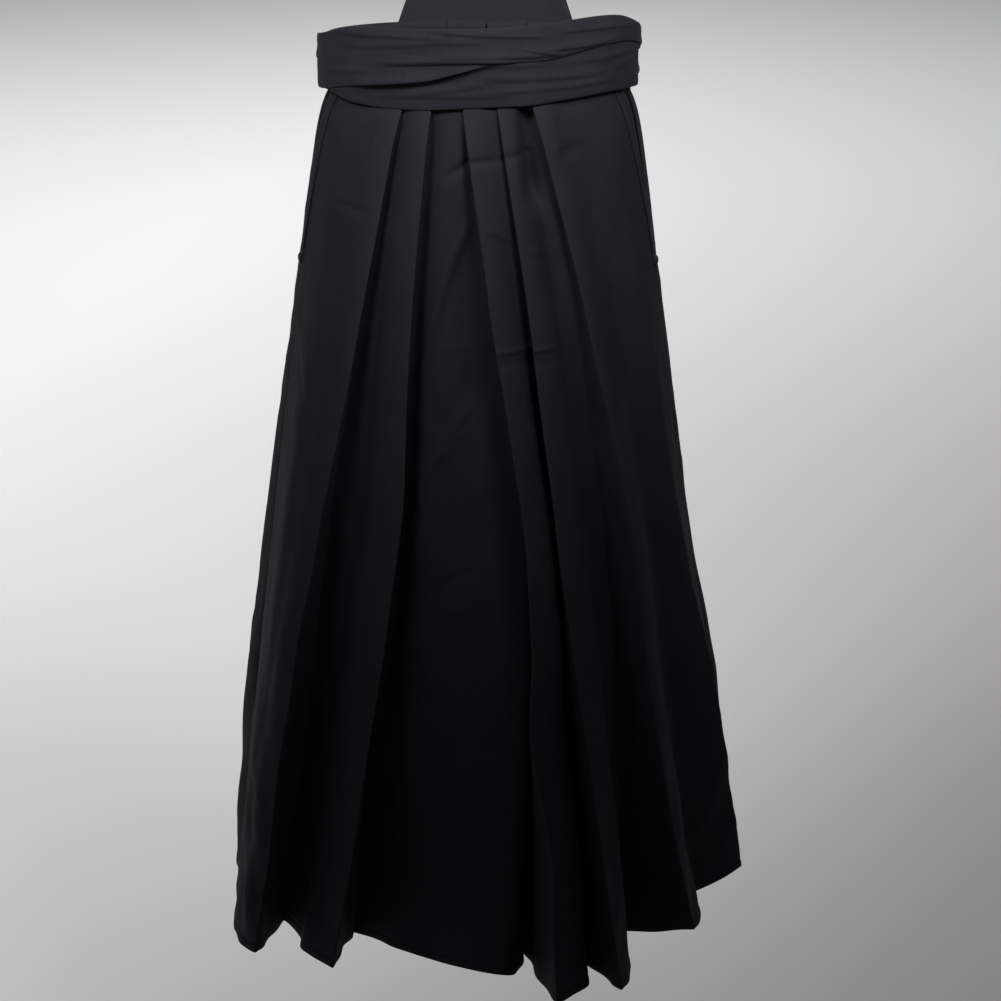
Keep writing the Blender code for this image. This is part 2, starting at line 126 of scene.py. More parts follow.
def creaseRelief(across, height, rows):
    # each crease, given in millimetres, stands out by its height times a bell over the distance from
    # its line, with one width above the line and one below. It fades at both ends, and bend bows its
    # middle upwards
    total = np.zeros(np.broadcast(across, height).shape)
    for millimetres in rows:
        row = creaseRow(*(value / 1000.0 for value in millimetres))
        runX, runZ = row.x1 - row.x0, row.z1 - row.z0
        length = math.hypot(runX, runZ)
        along = ((across - row.x0) * runX + (height - row.z0) * runZ) / length**2
        aside = ((height - row.z0) * runX - (across - row.x0) * runZ) / length * (1 if runX >= 0 else -1)
        aside = aside - row.bend * 4.0 * along * (1.0 - along)
        width = np.where(aside > 0.0, row.above, row.below)
        fade = smoothStep((along + 0.05) / 0.3) * smoothStep((1.05 - along) / 0.3)
        total += row.height * np.exp(-((aside / width) ** 2)) * fade
    return total


def gridMesh(name, points, uv=None, flip=False):
    # rows by columns of points, joined into four-cornered faces
    rows, columns = points.shape[:2]
    index = np.arange(rows * columns).reshape(rows, columns)
    quads = np.stack([index[:-1, :-1], index[:-1, 1:], index[1:, 1:], index[1:, :-1]], axis=-1).reshape(-1, 4)
    if flip:
        quads = quads[:, ::-1]
    mesh = bpy.data.meshes.new(name)
    mesh.vertices.add(rows * columns)
    mesh.vertices.foreach_set("co", points.astype(np.float32).ravel())
    mesh.loops.add(quads.size)
    mesh.loops.foreach_set("vertex_index", quads.astype(np.int32).ravel())
    mesh.polygons.add(len(quads))
    mesh.polygons.foreach_set("loop_start", np.arange(0, quads.size, 4, dtype=np.int32))
    if uv is not None:
        layer = mesh.uv_layers.new(name="cloth")
        layer.data.foreach_set("uv", uv.reshape(-1, 2)[quads.ravel()].astype(np.float32).ravel())
    mesh.update(calc_edges=True)
    mesh.validate()
    mesh.shade_smooth()
    return mesh


def addPiece(name, mesh, material, node=None):
    piece = bpy.data.objects.new(name, mesh)
    bpy.context.scene.collection.objects.link(piece)
    mesh.materials.append(material)
    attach(piece, "root")
    if node:
        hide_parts(node)
    return piece


def addWall(piece, thickness):
    wall = piece.modifiers.new("wall", "SOLIDIFY")
    wall.thickness = thickness
    wall.offset = 0.0


def addSheet(name, grid, material, node, wall, uv=None, flip=False):
    across, fall = gridLengths(grid, 1), gridLengths(grid, 0)
    uv = np.stack([across, -fall], axis=-1) if uv is None else uv
    piece = addPiece("cloth_" + name, gridMesh(name, grid, uv, flip), material, node)
    addWall(piece, wall)
    print(f"{name}: area {gridArea(grid):.4f} m2, last row {across[-1, -1]:.3f} m")
    return piece


def gridLengths(points, axis):
    # how far each point lies from the first one, along the surface
    steps = np.linalg.norm(np.diff(points, axis=axis), axis=2)
    start = np.zeros_like(np.take(steps, [0], axis=axis))
    return np.concatenate([start, np.cumsum(steps, axis=axis)], axis=axis)


def gridArea(points):
    # each four-cornered face is half the cross product of its diagonals
    first = points[1:, 1:] - points[:-1, :-1]
    second = points[1:, :-1] - points[:-1, 1:]
    return float(np.linalg.norm(np.cross(first, second), axis=2).sum() / 2.0)


# Materials

def toLinear(hexColour):
    # the sRGB curve, undone for each channel
    channels = [int(hexColour[i:i + 2], 16) / 255.0 for i in (1, 3, 5)]
    return tuple(c / 12.92 if c <= 0.04045 else ((c + 0.055) / 1.055) ** 2.4 for c in channels) + (1.0,)


def addNode(tree, kind, inputs=None, **settings):
    # an input is a value, or another node's output to link from
    node = tree.nodes.new("ShaderNode" + kind)
    for key, value in settings.items():
        setattr(node, key, value)
    for key, value in (inputs or {}).items():
        if isinstance(value, bpy.types.NodeSocket):
            tree.links.new(value, node.inputs[key])
        else:
            node.inputs[key].default_value = value
    return node.outputs


def clothMaterial(name, look):
    # the thread pattern is drawn in the piece's own UV map, which is in metres along the threads
    material = bpy.data.materials.new(name)
    material.use_nodes = True
    tree = material.node_tree
    shader = tree.nodes["Principled BSDF"].inputs
    place = addNode(tree, "TexCoord")
    parts = addNode(tree, "SeparateXYZ", {0: place["UV"]})
    # twill lines run up to the right at about 63 degrees
    slope = addNode(tree, "Math", {0: parts[0], 1: 2.0, 2: parts[1]}, operation="MULTIPLY_ADD")
    turns = addNode(tree, "Math", {0: slope[0], 1: 2 * math.pi / look["twill"]}, operation="MULTIPLY")
    lines = addNode(tree, "Math", {0: turns[0]}, operation="SINE")
    size = (1 / look["slubWide"], 1 / look["slubLong"], 1.0)
    threads = addNode(tree, "Mapping", {"Vector": place["UV"], "Scale": size})
    slubs = addNode(tree, "TexNoise", {"Vector": threads[0], "Scale": 1.0, "Detail": 3.0})
    relief = addNode(tree, "Math", {0: lines[0], 1: look["twillShare"], 2: slubs["Fac"]},
                     operation="MULTIPLY_ADD")
    bump = addNode(tree, "Bump", {"Height": relief[0], "Strength": look["bump"],
                                  "Distance": look["bumpDepth"]})
    # the dye has paled unevenly, in clouds; the pressed ridges are painted a little lighter, partly as
    # rubbing and partly as a painted sheen
    clouds = addNode(tree, "TexNoise", {"Vector": place["Object"], "Scale": 1 / look["cloud"], "Detail": 4.0,
                                        "Roughness": 0.6})
    spread = addNode(tree, "MapRange", {"Value": clouds["Fac"], "From Min": 0.35, "From Max": 0.65})
    dark, light, wornAndSheen = (toLinear(look[key]) for key in ("dark", "light", "wornAndSheen"))
    dye = addNode(tree, "Mix", {0: spread[0], 6: dark, 7: light}, data_type="RGBA")
    grain = addNode(tree, "MapRange", {"Value": slubs["Fac"], "From Min": 0.3, "From Max": 0.7, "To Min": 0.0,
                                       "To Max": look["grain"]})
    threadDye = addNode(tree, "Mix", {0: grain[0], 6: dye[2], 7: wornAndSheen}, data_type="RGBA")
    # the pressed ridges' mask, which paints them lighter: partly rubbing, partly a painted sheen
    pressed = addNode(tree, "Attribute", attribute_name="pressed")
    ridgeWearAndSheen = addNode(tree, "Math", {0: pressed["Fac"], 1: look["ridgeWearAndSheen"]}, operation="MULTIPLY")
    withRidgeWearAndSheen = addNode(tree, "Mix", {0: ridgeWearAndSheen[0], 6: threadDye[2], 7: wornAndSheen}, data_type="RGBA")
    tree.links.new(withRidgeWearAndSheen[2], shader["Base Color"])
    tree.links.new(bump[0], shader["Normal"])
    for socket, key in (("Roughness", "roughness"), ("Specular IOR Level", "specular"),
                        ("Sheen Weight", "sheen"), ("Sheen Roughness", "sheenRoughness")):
        shader[socket].default_value = look[key]
    shader["Sheen Tint"].default_value = toLinear(look["sheenTint"])
    return material


# Piece-dyed cotton twill, woven and pressed. It looks soft and nearly black, with a blue cast, and
# takes a faint light along edges. Its threads are 0.4 mm apart, too fine to show, so the twill is
# drawn at 2.4 mm.
cottonTwillLook = {
    # the pale thread colour also paints a sheen on the pressed ridges, by the ridges' weight
    "dark": "#141319", "light": "#19181e", "wornAndSheen": "#26252d", "ridgeWearAndSheen": 0.35, "grain": 0.30,
    "roughness": 0.85, "specular": 0.14, "sheen": 0.02, "sheenRoughness": 0.45, "sheenTint": "#a7a2b4",
    "twill": 0.0024, "twillShare": 0.25, "slubWide": 0.0009, "slubLong": 0.016,
    "bump": 0.35, "bumpDepth": 0.0004, "cloud": 0.09,
}
# The same cotton, folded into a wide tie: paler, partly because it is handled and partly as painted light, as
# it lies in the light.
tieCottonHandledAndLitLook = dict(cottonTwillLook, dark="#16151b", light="#1b1a21", wornAndSheen="#2a2932", sheen=0.03, cloud=0.05)
# Cotton stretched over a stiff board: smoother than the loose cloth.
boardCottonLook = dict(cottonTwillLook, dark="#17161c", light="#1c1b21", bump=0.25, cloud=0.05)
# Twisted polyester sewing thread: a shade lighter and glossier than the cloth.
threadLook = dict(cottonTwillLook, dark="#201f26", light="#27262e", roughness=0.55, sheen=0.0,
                  twill=0.0008, slubWide=0.0006, slubLong=0.0006)

cottonTwill = clothMaterial("cotton_twill_navy_black", cottonTwillLook)
# the ties' and waistband's cotton: paler partly from handling and partly as painted light
tieCottonHandledAndLit = clothMaterial("tie_cotton_handled_painted_lit", tieCottonHandledAndLitLook)
boardCotton = clothMaterial("board_cotton_navy_black", boardCottonLook)
sewingThread = clothMaterial("polyester_thread_navy", threadLook)
print("materials made")


# The cut of the garment, shared by every piece of cloth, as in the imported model
cut = {
    "halfWidth": 0.164, "halfDepth": 0.109,      # of the waist's outline
    "top": 0.016, "underTies": -0.045,           # top of the panels, and where they come out
    "topShare": -0.065,                          # the top as a share of the length
    "length": 0.948,                             # from under the ties to the hem
    "swellOut": 0.009, "swellReach": 0.022,      # the cloth swells out just below the ties
    "swellEarly": 0.008, "earlyFrom": 20.0, "earlyOver": 35.0,  # higher up on the wearer's left
    "bowAt": (0.0, 0.27, 0.50, 0.75, 1.0),       # waist, hip, knee, shin, hem
    "slitEnd": 0.20, "crotch": 0.50,
    "layer": 0.0020,                             # between the middles of two pressed layers
    "grip": 3, "faceSwell": 0.013,
    "seam": 0.0003, "lap": 0.0015,
    "spreadFront": 0.001, "spreadBack": 0.022,
    "facingWidth": 0.022, "facingNarrowest": 0.15, "facingMost": 0.7, "facingEnd": 0.19,
    "wall": 0.0010,                              # of the fine cloth
    "wobble": 0.0016,                            # how far a fold's line strays at the hem
    "edgeLift": 0.0035,                          # a pleat's edge stands off the layer below it
}
# Where single folds wander: by their place at the waist, the share of the length, how far along
# the length it reaches, and the shift to the wearer's left
sways = {-3.0: [(0.70, 0.05, -0.004), (0.845, 0.075, 0.011)]}

foldRow = namedtuple("foldRow", "kind waistDeg flare hemX hemY hip knee shin extra")
# The points inside a face, by the kinds of its two folds: the share of the way across it, how many
# layers it lies out, and how proud it stands at the hem
faces = {
    ("ridge", "valley"): [(0.37, 2, 1.0), (0.50, 1, 0.6), (0.63, 0, -0.3)],
    ("soft", "valley"): [(0.40, 0, 0.3), (0.70, 0, -0.2)],
    ("valley", "ridge"): [(0.50, 1, 0.0)],
    ("edge", "ridge"): [(0.50, 0.75, 0.0)],
    ("ridge", "any"): [(0.34, 2, 0.8), (0.67, 0, 0.2)],
    "plain": [(0.34, 0, 0.4), (0.67, 0, 0.4)],
}


def foldAt(kind, waistDeg, flare, *millimetres):
    return foldRow(kind, waistDeg, flare, *(value / 1000.0 for value in millimetres))


centreFront = foldAt("edge", 3.0, 1.2, 58, -150, 19, 37, 18, 0)
centreBack = foldAt("edge", 180.0, 1.2, 4, 150, 6, 10, 6, 0)
sideRight = foldAt("edge", -80.0, 1.2, -285, 30, -2, -4, -4, -6)
sideLeft = foldAt("edge", 80.0, 1.2, 294, 70, -3, -4, 4, -8)


def waistPoint(deg, out=0.0):
    # x = W sin a, y = -D cos a, moved out along the ellipse's normal (sin a / W, -cos a / D)
    turn = np.radians(deg)
    place = np.stack([cut["halfWidth"] * np.sin(turn), -cut["halfDepth"] * np.cos(turn)], axis=-1)
    way = np.stack([np.sin(turn) / cut["halfWidth"], -np.cos(turn) / cut["halfDepth"]], axis=-1)
    way = way / np.linalg.norm(way, axis=-1, keepdims=True)
    return place + way * np.asarray(out)[..., None], way


def layerOut(fold):
    return {"ridge": 1.5, "valley": 0.5}.get(fold.kind, 0.0) * cut["layer"]


def rowShares():
    # shares of the length at which the cloth has a row of points: closer at creases and the hem
    stops = [(-0.065, 0.008), (0.0, 0.0030), (0.10, 0.0032), (0.255, 0.0020), (0.30, 0.0042),
             (0.60, 0.0050), (0.90, 0.0045), (0.983, 0.0012), (1.0, None)]
    shares = [np.arange(start, end - step / 2, step) for (start, step), (end, _) in zip(stops, stops[1:])]
    return np.concatenate(shares + [[1.0]])


def foldLine(fold, t):
    # from the waist's outline a straight run to the hem, plus a swell under the ties, a sideways
    # bow and a slight stray; the height falls evenly
    down = np.clip(t, 0.0, None)
    place, way = waistPoint(fold.waistDeg, layerOut(fold))
    isFront = 0.0 < fold.waistDeg < 90.0
    early = cut["swellEarly"] * smoothStep((fold.waistDeg - cut["earlyFrom"]) / cut["earlyOver"]) * isFront
    swell = 1.0 - np.exp(-np.clip(t + early, 0.0, None) / cut["swellReach"])
    swell = cut["swellOut"] * swell * (1.0 - down)
    if fold.kind == "ridge":
        swell = swell + cut["edgeLift"] * smoothStep(down / 0.05) * smoothStep((1.0 - down) / 0.5)
    bow = smoothThrough(down, cut["bowAt"], (0.0, fold.hip, fold.knee, fold.shin, 0.0))
    across, forward = fold.hemX - place[0], fold.hemY - place[1]
    drop = math.sqrt((cut["length"] + fold.extra) ** 2 - across**2 - forward**2)
    rise = np.clip(t, None, 0.0) / cut["topShare"] * (cut["top"] - cut["underTies"])
    line = np.stack([place[0] + way[0] * swell + across * down + bow,
                     place[1] + way[1] * swell + forward * down**fold.flare,
                     cut["underTies"] - drop * down + rise], axis=1)
    for at, reach, shift in sways.get(fold.waistDeg, []):
        line[:, 0] += shift * np.exp(-(((down - at) / reach) ** 2))
    if fold.kind != "edge" and fold.kind != "slit":
        seed = int(abs(fold.waistDeg) * 10) + (500 if fold.waistDeg < 0 else 0)
        stray = cut["wobble"] * smoothStep(down / 0.5)
        line[:, 0] += stray * softWaves(down, 0.0 * down, 0.28, seed)
        line[:, 1] += stray * softWaves(down, 0.0 * down, 0.35, seed + 1)
    return line


def slitEdge(seam, waistDeg, t):
    # apart from the seam at the waist, and on it from the slit's end down
    line = foldLine(seam, t)
    here, _ = waistPoint(waistDeg)
    there, _ = waistPoint(seam.waistDeg)
    openShare = np.clip(1.0 - np.clip(t, 0.0, None) / cut["slitEnd"], 0.0, 1.0)
    line[:, :2] += openShare[:, None] * (here - there)
    line[:, 1] += math.copysign(cut["seam"], abs(waistDeg) - abs(seam.waistDeg))
    return line


def innerEdge(seam, side, spread, t):
    # the centre seam's line; below the crotch the two legs' edges move apart
    line = foldLine(seam, t)
    parted = np.clip((t - cut["crotch"]) / (1.0 - cut["crotch"]), 0.0, 1.0)
    line[:, 0] += side * (cut["lap"] / 2 + spread * parted)
    return line


def unit(v):
    return v / np.maximum(np.linalg.norm(v, axis=-1, keepdims=True), 1e-12)


def offChord(pair, share, layer, t):
    # how far the round waist and its layers lie off the straight line between two folds
    share = np.broadcast_to(share, t.shape)
    first, second = (waistPoint(fold.waistDeg, layerOut(fold))[0] for fold in pair)
    degs = pair[0].waistDeg + (pair[1].waistDeg - pair[0].waistDeg) * share
    curved, _ = waistPoint(degs, np.full(t.shape, layer * cut["layer"]))
    straight = first + (second - first) * share[:, None]
    return (curved - straight) * ((1.0 - np.clip(t, 0.0, None)) ** cut["grip"])[:, None]


def facePoints(start, end, pair, side, t, bulges):
    # points inside a face: a share of the way, off the chord at the waist, proud at the hem, by
    # the face's own bulges where it has them
    along = unit(end[:, :2] - start[:, :2])
    away = side * np.stack([along[:, 1], -along[:, 0]], axis=1)
    away = away * (cut["faceSwell"] * np.clip(t, 0.0, None))[:, None]
    kinds = (pair[0].kind, pair[1].kind)
    rows = faces.get(kinds, faces.get((kinds[0], "any"), faces["plain"]))
    points = []
    for i, (share, layer, proud) in enumerate(rows):
        point = start + (end - start) * share
        point[:, :2] += offChord(pair, share, layer, t) + away * (bulges[i] if bulges else proud)
        points.append(point)
    return points


def slitPoints(start, end, pair, t):
    # the last three points of the strip beside a slit lie under its facing
    narrowed = np.clip(np.abs(1.0 - np.clip(t, 0.0, None) / cut["slitEnd"]), cut["facingNarrowest"], 1.0)
    facing = cut["facingWidth"] * narrowed / np.linalg.norm(end - start, axis=1)
    facing = np.minimum(facing, cut["facingMost"])
    points = []
    for share in (0.5 - facing / 2, 1.0 - facing, 1.0 - facing * 2 / 3, 1.0 - facing / 3):
        point = start + (end - start) * share[:, None]
        point[:, :2] += offChord(pair, share, 0.0, t)
        points.append(point)
    return points


def sectionControls(path, lines, side, t, bulges):
    # every row's guide points, from the inner edge to the side edge, and what each belongs to:
    # the number of its face, or the number before it plus a half for a fold
    last = len(path) - 1
    between = []
    for i in range(last):
        pair = (path[i], path[i + 1])
        if pair[1].kind == "slit":
            between.append(slitPoints(lines[i], lines[i + 1], pair, t))
        else:
            between.append(facePoints(lines[i], lines[i + 1], pair, side, t, bulges.get(i)))
    points, owners = [lines[0]], [-0.5]
    for i in range(1, last + 1):
        points += between[i - 1]
        owners += [i - 1.0] * len(between[i - 1])
        if path[i].kind in ("ridge", "valley"):
            before, after = between[i - 1][-1], between[i][0]
            apart = unit(unit((before - lines[i])[:, :2]) - unit((after - lines[i])[:, :2]))
            for way in (1, -1):
                point = lines[i].copy()
                point[:, :2] += way * apart * cut["layer"] / 2
                points.append(point)
                owners.append(i - 0.5)
        else:
            points.append(lines[i])
            owners.append(i - 0.5)
    return np.stack(points, axis=1), np.array(owners)


def splineWeights(count, places):
    # how much each guide point counts at each place on a quadratic spline that starts and ends
    # on its first and last guide points
    knots = np.concatenate([[0, 0], np.arange(count - 1), [count - 2] * 2]).astype(float)
    u = np.clip(places, 0.0, count - 2 - 1e-9)[:, None]
    weights = ((knots[:-1] <= u) & (u < knots[1:])).astype(float)
    for degree in (1, 2):
        span = knots[degree:] - knots[:-degree]
        rising = np.where(span > 0, (u - knots[:-degree]) / np.where(span > 0, span, 1.0), 0.0)
        weights = rising[:, :-1] * weights[:, :-1] + (1.0 - rising[:, 1:]) * weights[:, 1:]
    return weights


def columnPlaces(controls, columns, turnLength):
    # columns stand evenly by length, with turnLength added for each radian that the cloth turns
    count = controls.shape[1]
    dense = np.linspace(0.0, count - 2, 40 * (count - 2) + 1)
    weights = splineWeights(count, dense)
    cost = np.zeros(len(dense) - 1)
    for row in (0.25, 0.6, 0.9):
        curve = weights @ controls[int(row * len(controls)), :, :2]
        step = np.diff(curve, axis=0)
        heading = np.unwrap(np.arctan2(step[:, 1], step[:, 0]))
        cost += np.linalg.norm(step, axis=1) + turnLength * np.abs(np.gradient(heading))
    total = np.concatenate([[0.0], np.cumsum(cost)])
    return np.interp(np.linspace(0.0, total[-1], columns), total, dense)


# Each panel: its folds from the centre round to the side seam, its creases and its grooves, in
# millimetres. A crease is set in the front view, after the face that it lies on, or None for all
# layers. A groove is the number of the fold it lies beside (0 is the other leg's first pleat), the
# face it lies on, its depth and width, and the share of the length at which it is gone. Bulges say
# how proud the points of one face stand.
panels = {
    "front_right": {
        "side": -1, "slitDeg": -73.0, "centre": centreFront, "seam": sideRight, "columns": 168, "seed": 11,
        "grooveWay": 1,
        "grooves": [(4, 2, 7, 14, 0.9), (6, 4, 4.5, 7, 0.6), (0, 1, 6, 12, 0.8), (0, 2, 6, 12, 0.8)],
        "folds": [
            ("soft", 1.5, 2.0, 57, -245, 13, 30, 22, 0),
            ("soft", -2.0, 1.3, -30, -196, -18, -30, -20, 0),
            ("valley", -20.0, 1.2, -135, -115, 0, 0, 0, 0),
            ("ridge", -14.3, 1.2, -145, -235, 7, 19, 12, 3),
            ("valley", -31.0, 1.2, -217, -100, -3, -4, -2, 0),
            ("ridge", -25.4, 1.2, -232, -215, -4, -9, -10, 2),
            ("soft", -52.0, 1.2, -268, -145, -4, -6, -6, -4),
        ],
        "creases": [
            (None, -26, -126, -3, -107, 2.8, 5, -3, 2), (None, -10, -107, 30, -103, 2.8, 5, -3, 1),
            (None, -47, -176, -19, -120, 6, 6, 2.2, 0), (None, -48, -312, 0, -165, 8, 6, 5.2, 4),
            (None, 6, -400, -10, -150, 14, 13, -9, 0), (None, -60, -476, 12, -358, 5, 3, 3.6, 6),
            (None, -34, -430, 0, -388, 4, 2.5, 2.8, -2), (None, -44, -572, 10, -546, 2.5, 5, -3, 3),
            (None, -44, -606, 20, -650, 2.8, 5, -2.6, -5), (None, -50, -588, 12, -600, 5, 3, 2.4, 3),
            (4, -112, -420, -78, -380, 4, 3.5, 1.8, 0), (6, -158, -158, -98, -166, 3.5, 4, -2, 2),
            (6, -128, -83, -100, -70, 4, 5, -1.8, 0), (6, -136, -60, -134, -120, 5, 5, -1.6, 0),
            (6, -170, -260, -120, -285, 9, 6, 1.2, 3), (6, -215, -430, -165, -455, 10, 7, 1.1, -3),
            (6, -240, -600, -190, -575, 10, 8, -1.2, 4), (None, -150, -672, 40, -666, 2.6, 1.6, 2.8, 3),
            (None, -200, -312, 30, -305, 3, 3, 0.2, 2),
        ],
    },
    "front_left": {
        "side": 1, "slitDeg": 73.0, "centre": centreFront, "seam": sideLeft, "columns": 168, "seed": 23,
        "bulges": {1: (1.8, 1.8, 1.2)},
        "grooveWay": -1,
        "grooves": [(3, 1, 4, 4, 0.35), (5, 3, 5, 7, 0.6)],
        "folds": [
            ("ridge", -3.0, 1.2, 106, -300, 8, 17, 3, 20),
            ("valley", 15.0, 1.2, 124, -175, 1, 10, 9, 0),
            ("ridge", 9.5, 1.2, 174, -270, 1, -2, -1, 14),
            ("valley", 28.0, 1.2, 166, -95, 12, 21, 15, 0),
            ("ridge", 22.5, 1.2, 250, -130, 14, 18, 1, -4),
            ("soft", 42.0, 1.2, 243, -10, 6, 10, 4, -6),
            ("soft", 56.0, 1.2, 303, 45, 3, 0, 7, -10),
        ],
        "creases": [
            (None, -6, -107, 34, -103, 2.8, 5, -3, 1), (None, 28, -104, 70, -95, 2.8, 5, -3, 1),
            (3, 57, -32, 69, -160, 10, 10, -17, 0), (3, 64, -85, 104, -292, 14, 14, -8, 0),
            (5, 76, -44, 90, -112, 9, 9, 5.5, 0), (1, 12, -174, 46, -190, 4, 2.5, 2.2, 2),
            (3, 52, -196, 80, -206, 4, 2.5, 1.8, 1), (None, 18, -306, 98, -302, 3.5, 1.8, 3.2, 1),
            (None, 18, -319, 98, -316, 5, 6, -1.4, 1), (None, 98, -306, 190, -320, 4, 3, 0.3, 1),
            (1, 36, -471, 64, -474, 4, 3, 1, 1), (3, 66, -466, 100, -471, 4, 3, 1, 1),
            (5, 88, -100, 140, -88, 5, 10, -2.8, 2), (5, 127, -90, 133, -380, 9, 9, -2.4, 4),
            (5, 118, -230, 150, -262, 8, 6, 1.4, 2), (6, 184, -310, 196, -420, 9, 9, -2, 0),
            (6, 185, -570, 240, -596, 8, 7, 1.6, 3), (7, 200, -610, 245, -625, 6, 5, 2.2, 2),
            (None, 40, -667, 180, -664, 2.6, 1.8, 1.6, 2), (5, 175, -760, 235, -735, 10, 8, 1.4, 4),
        ],
    },
    "back_right": {
        "side": 1, "slitDeg": -79.0, "centre": centreBack, "seam": sideRight, "columns": 140, "seed": 37,
        "grooveWay": 1, "grooves": [(3, 1, 4.5, 6, 0.7)],
        "folds": [
            ("soft", -178.0, 1.5, -22, 235, 4, 6, 6, 0),
            ("valley", -164.5, 1.2, -78, 160, 0, 0, 0, 0),
            ("ridge", -171.0, 1.2, -92, 262, 2, 2, 2, 6),
            ("soft", -148.0, 1.2, -145, 165, 0, 0, 0, 0),
            ("soft", -133.0, 1.1, -180, 238, 0, -2, -2, 4),
            ("soft", -116.0, 1.2, -235, 140, -2, -2, 0, 0),
            ("soft", -98.0, 1.1, -299, 98, -7, -12, -13, 0),
        ],
        "creases": [
            (None, -110, -118, -20, -106, 9, 6, -1.8, 4), (None, -145, -176, -70, -158, 10, 7, 1.8, 5),
            (None, -90, -245, -30, -222, 9, 6, -1.4, 3), (None, -210, -309, 0, -304, 3.5, 3, 1.2, 2),
            (None, -170, -420, -110, -455, 9, 7, 1.5, 4), (None, -100, -540, -30, -505, 9, 6, 1.4, 4),
            (None, -250, -668, 10, -664, 3.5, 3, 1, 2), (None, -210, -770, -150, -735, 10, 8, -1.4, 4),
        ],
    },
    "back_left": {
        "side": -1, "slitDeg": 79.0, "centre": centreBack, "seam": sideLeft, "columns": 140, "seed": 41,
        "grooveWay": -1, "grooves": [(3, 1, 4.5, 6, 0.7)],
        "folds": [
            ("soft", 178.0, 1.5, 34, 230, 4, 6, 6, 0),
            ("valley", 164.5, 1.2, 88, 155, 0, 2, 2, 0),
            ("ridge", 171.0, 1.2, 102, 262, 2, 2, 2, 6),
            ("soft", 148.0, 1.2, 156, 172, 0, 0, 0, 0),
            ("soft", 133.0, 1.1, 213, 232, 0, 2, 2, 4),
            ("soft", 116.0, 1.2, 246, 138, 2, 0, 0, 0),
            ("soft", 98.0, 1.1, 294, 122, -2, -4, 2, 0),
        ],
        "creases": [
            (None, 16, -112, 95, -100, 9, 6, -1.7, 3), (None, 60, -190, 140, -160, 10, 7, 1.9, 5),
            (None, 30, -262, 85, -235, 8, 6, 1.4, 3), (None, 10, -311, 200, -306, 3.5, 3, 1.1, 2),
            (None, 120, -470, 185, -432, 9, 7, -1.5, 4), (None, 70, -585, 130, -556, 9, 6, 1.4, 4),
            (None, 40, -668, 270, -662, 3.5, 3, 1, 2), (None, 180, -805, 240, -770, 10, 8, 1.4, 4),
        ],
    },
}

clothRelief = {
    "crumple": 0.0009, "crumpleSize": 0.080,     # soft dents, and how far apart
    "calm": 0.24,                                # calm stretches between them are this far apart
    "fine": 0.00022, "fineSize": 0.024,
    "hang": 0.0026, "hangSize": 0.10, "hangStretch": 7.0,  # long hanging waves, full at the hem
    "hemWidth": 0.0090, "hemStep": 0.0004,       # the turned-up hem, and how proud it stands
    "hemTrough": 0.0006, "hemPull": 0.0015,      # pulled in by its stitches
    "hemDip": 0.0016, "dipSize": 0.11, "dipFrom": 0.93,  # its edge dips
    "nearFold": 0.020, "nearEdge": 0.012,        # relief fades towards folds and edges from here
    "fullFrom": 0.22, "creasesFrom": 0.012,      # shares of the length
    "turnLength": 0.010,
}


def outwardNormals(surface, side):
    down, along = np.gradient(surface, axis=0), np.gradient(surface, axis=1)
    return unit(np.cross(down, along) * side)


def bodyWay(surface):
    # level, and away from the middle of the waist, as a point on the waist's ellipse would be
    way = np.stack([surface[..., 0] / cut["halfWidth"] ** 2, surface[..., 1] / cut["halfDepth"] ** 2,
                    np.zeros(surface.shape[:2])], axis=-1)
    return unit(way)


def foldDistance(across, foldColumns):
    # along the row, how far each point lies from the nearest pressed fold
    gaps = [np.abs(across - across[:, [column]]) for column in foldColumns]
    return np.min(gaps, axis=0) if gaps else np.full(across.shape, 1.0)


def grooveBell(surface, line, way, width, end, t):
    # the layer below a pleat's edge sinks: fully under the pleat, and by a bell beside it
    aside = (surface[..., 0] - line[:, None, 0]) * way
    bell = np.where(aside < 0.0, 1.0, np.exp(-((aside / width) ** 2)))
    along = smoothStep(t / 0.03) * smoothStep((end - t) / 0.3)
    return bell * along[:, None]


